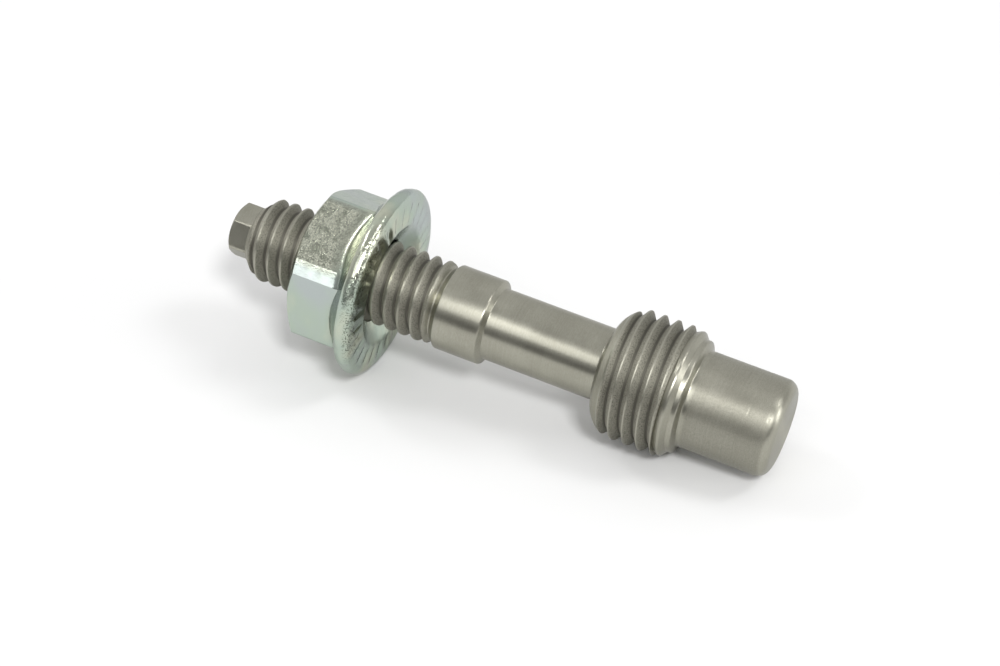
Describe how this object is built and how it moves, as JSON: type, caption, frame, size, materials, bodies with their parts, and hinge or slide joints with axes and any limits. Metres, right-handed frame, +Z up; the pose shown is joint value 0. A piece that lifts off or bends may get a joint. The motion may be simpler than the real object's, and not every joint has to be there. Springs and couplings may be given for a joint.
{
  "type": "adapter stud",
  "caption": "Stepped adapter stud lying on its side: hexagonal drive tip, small thread with a serrated flange nut, plain collar, slim shank, large thread and dog nose.",
  "frame": {"origin": "middle of the bounding box's base, on the surface that the part lies on", "axes": "+X along the surface towards the nose, +Z up; the stud's own axis dips 5.98 degrees below +X"},
  "size_m": [0.041, 0.0136, 0.0135],
  "materials": {
    "stainless_steel": "turned stainless steel with fine rings round the axis",
    "zinc_plated_steel": "bright zinc plating, pale blue-green with a yellow cast"
  },
  "bodies": {
    "stud": {"stud": "stainless_steel"},
    "nut": {"flange_nut": "zinc_plated_steel"}
  },
  "joints": [
    {"name": "nut_travel", "type": "slide", "parent": "stud", "child": "nut", "axis": [0.9946, 0, -0.1042], "range_m": [-0.0037, 0.0042]}
  ]
}
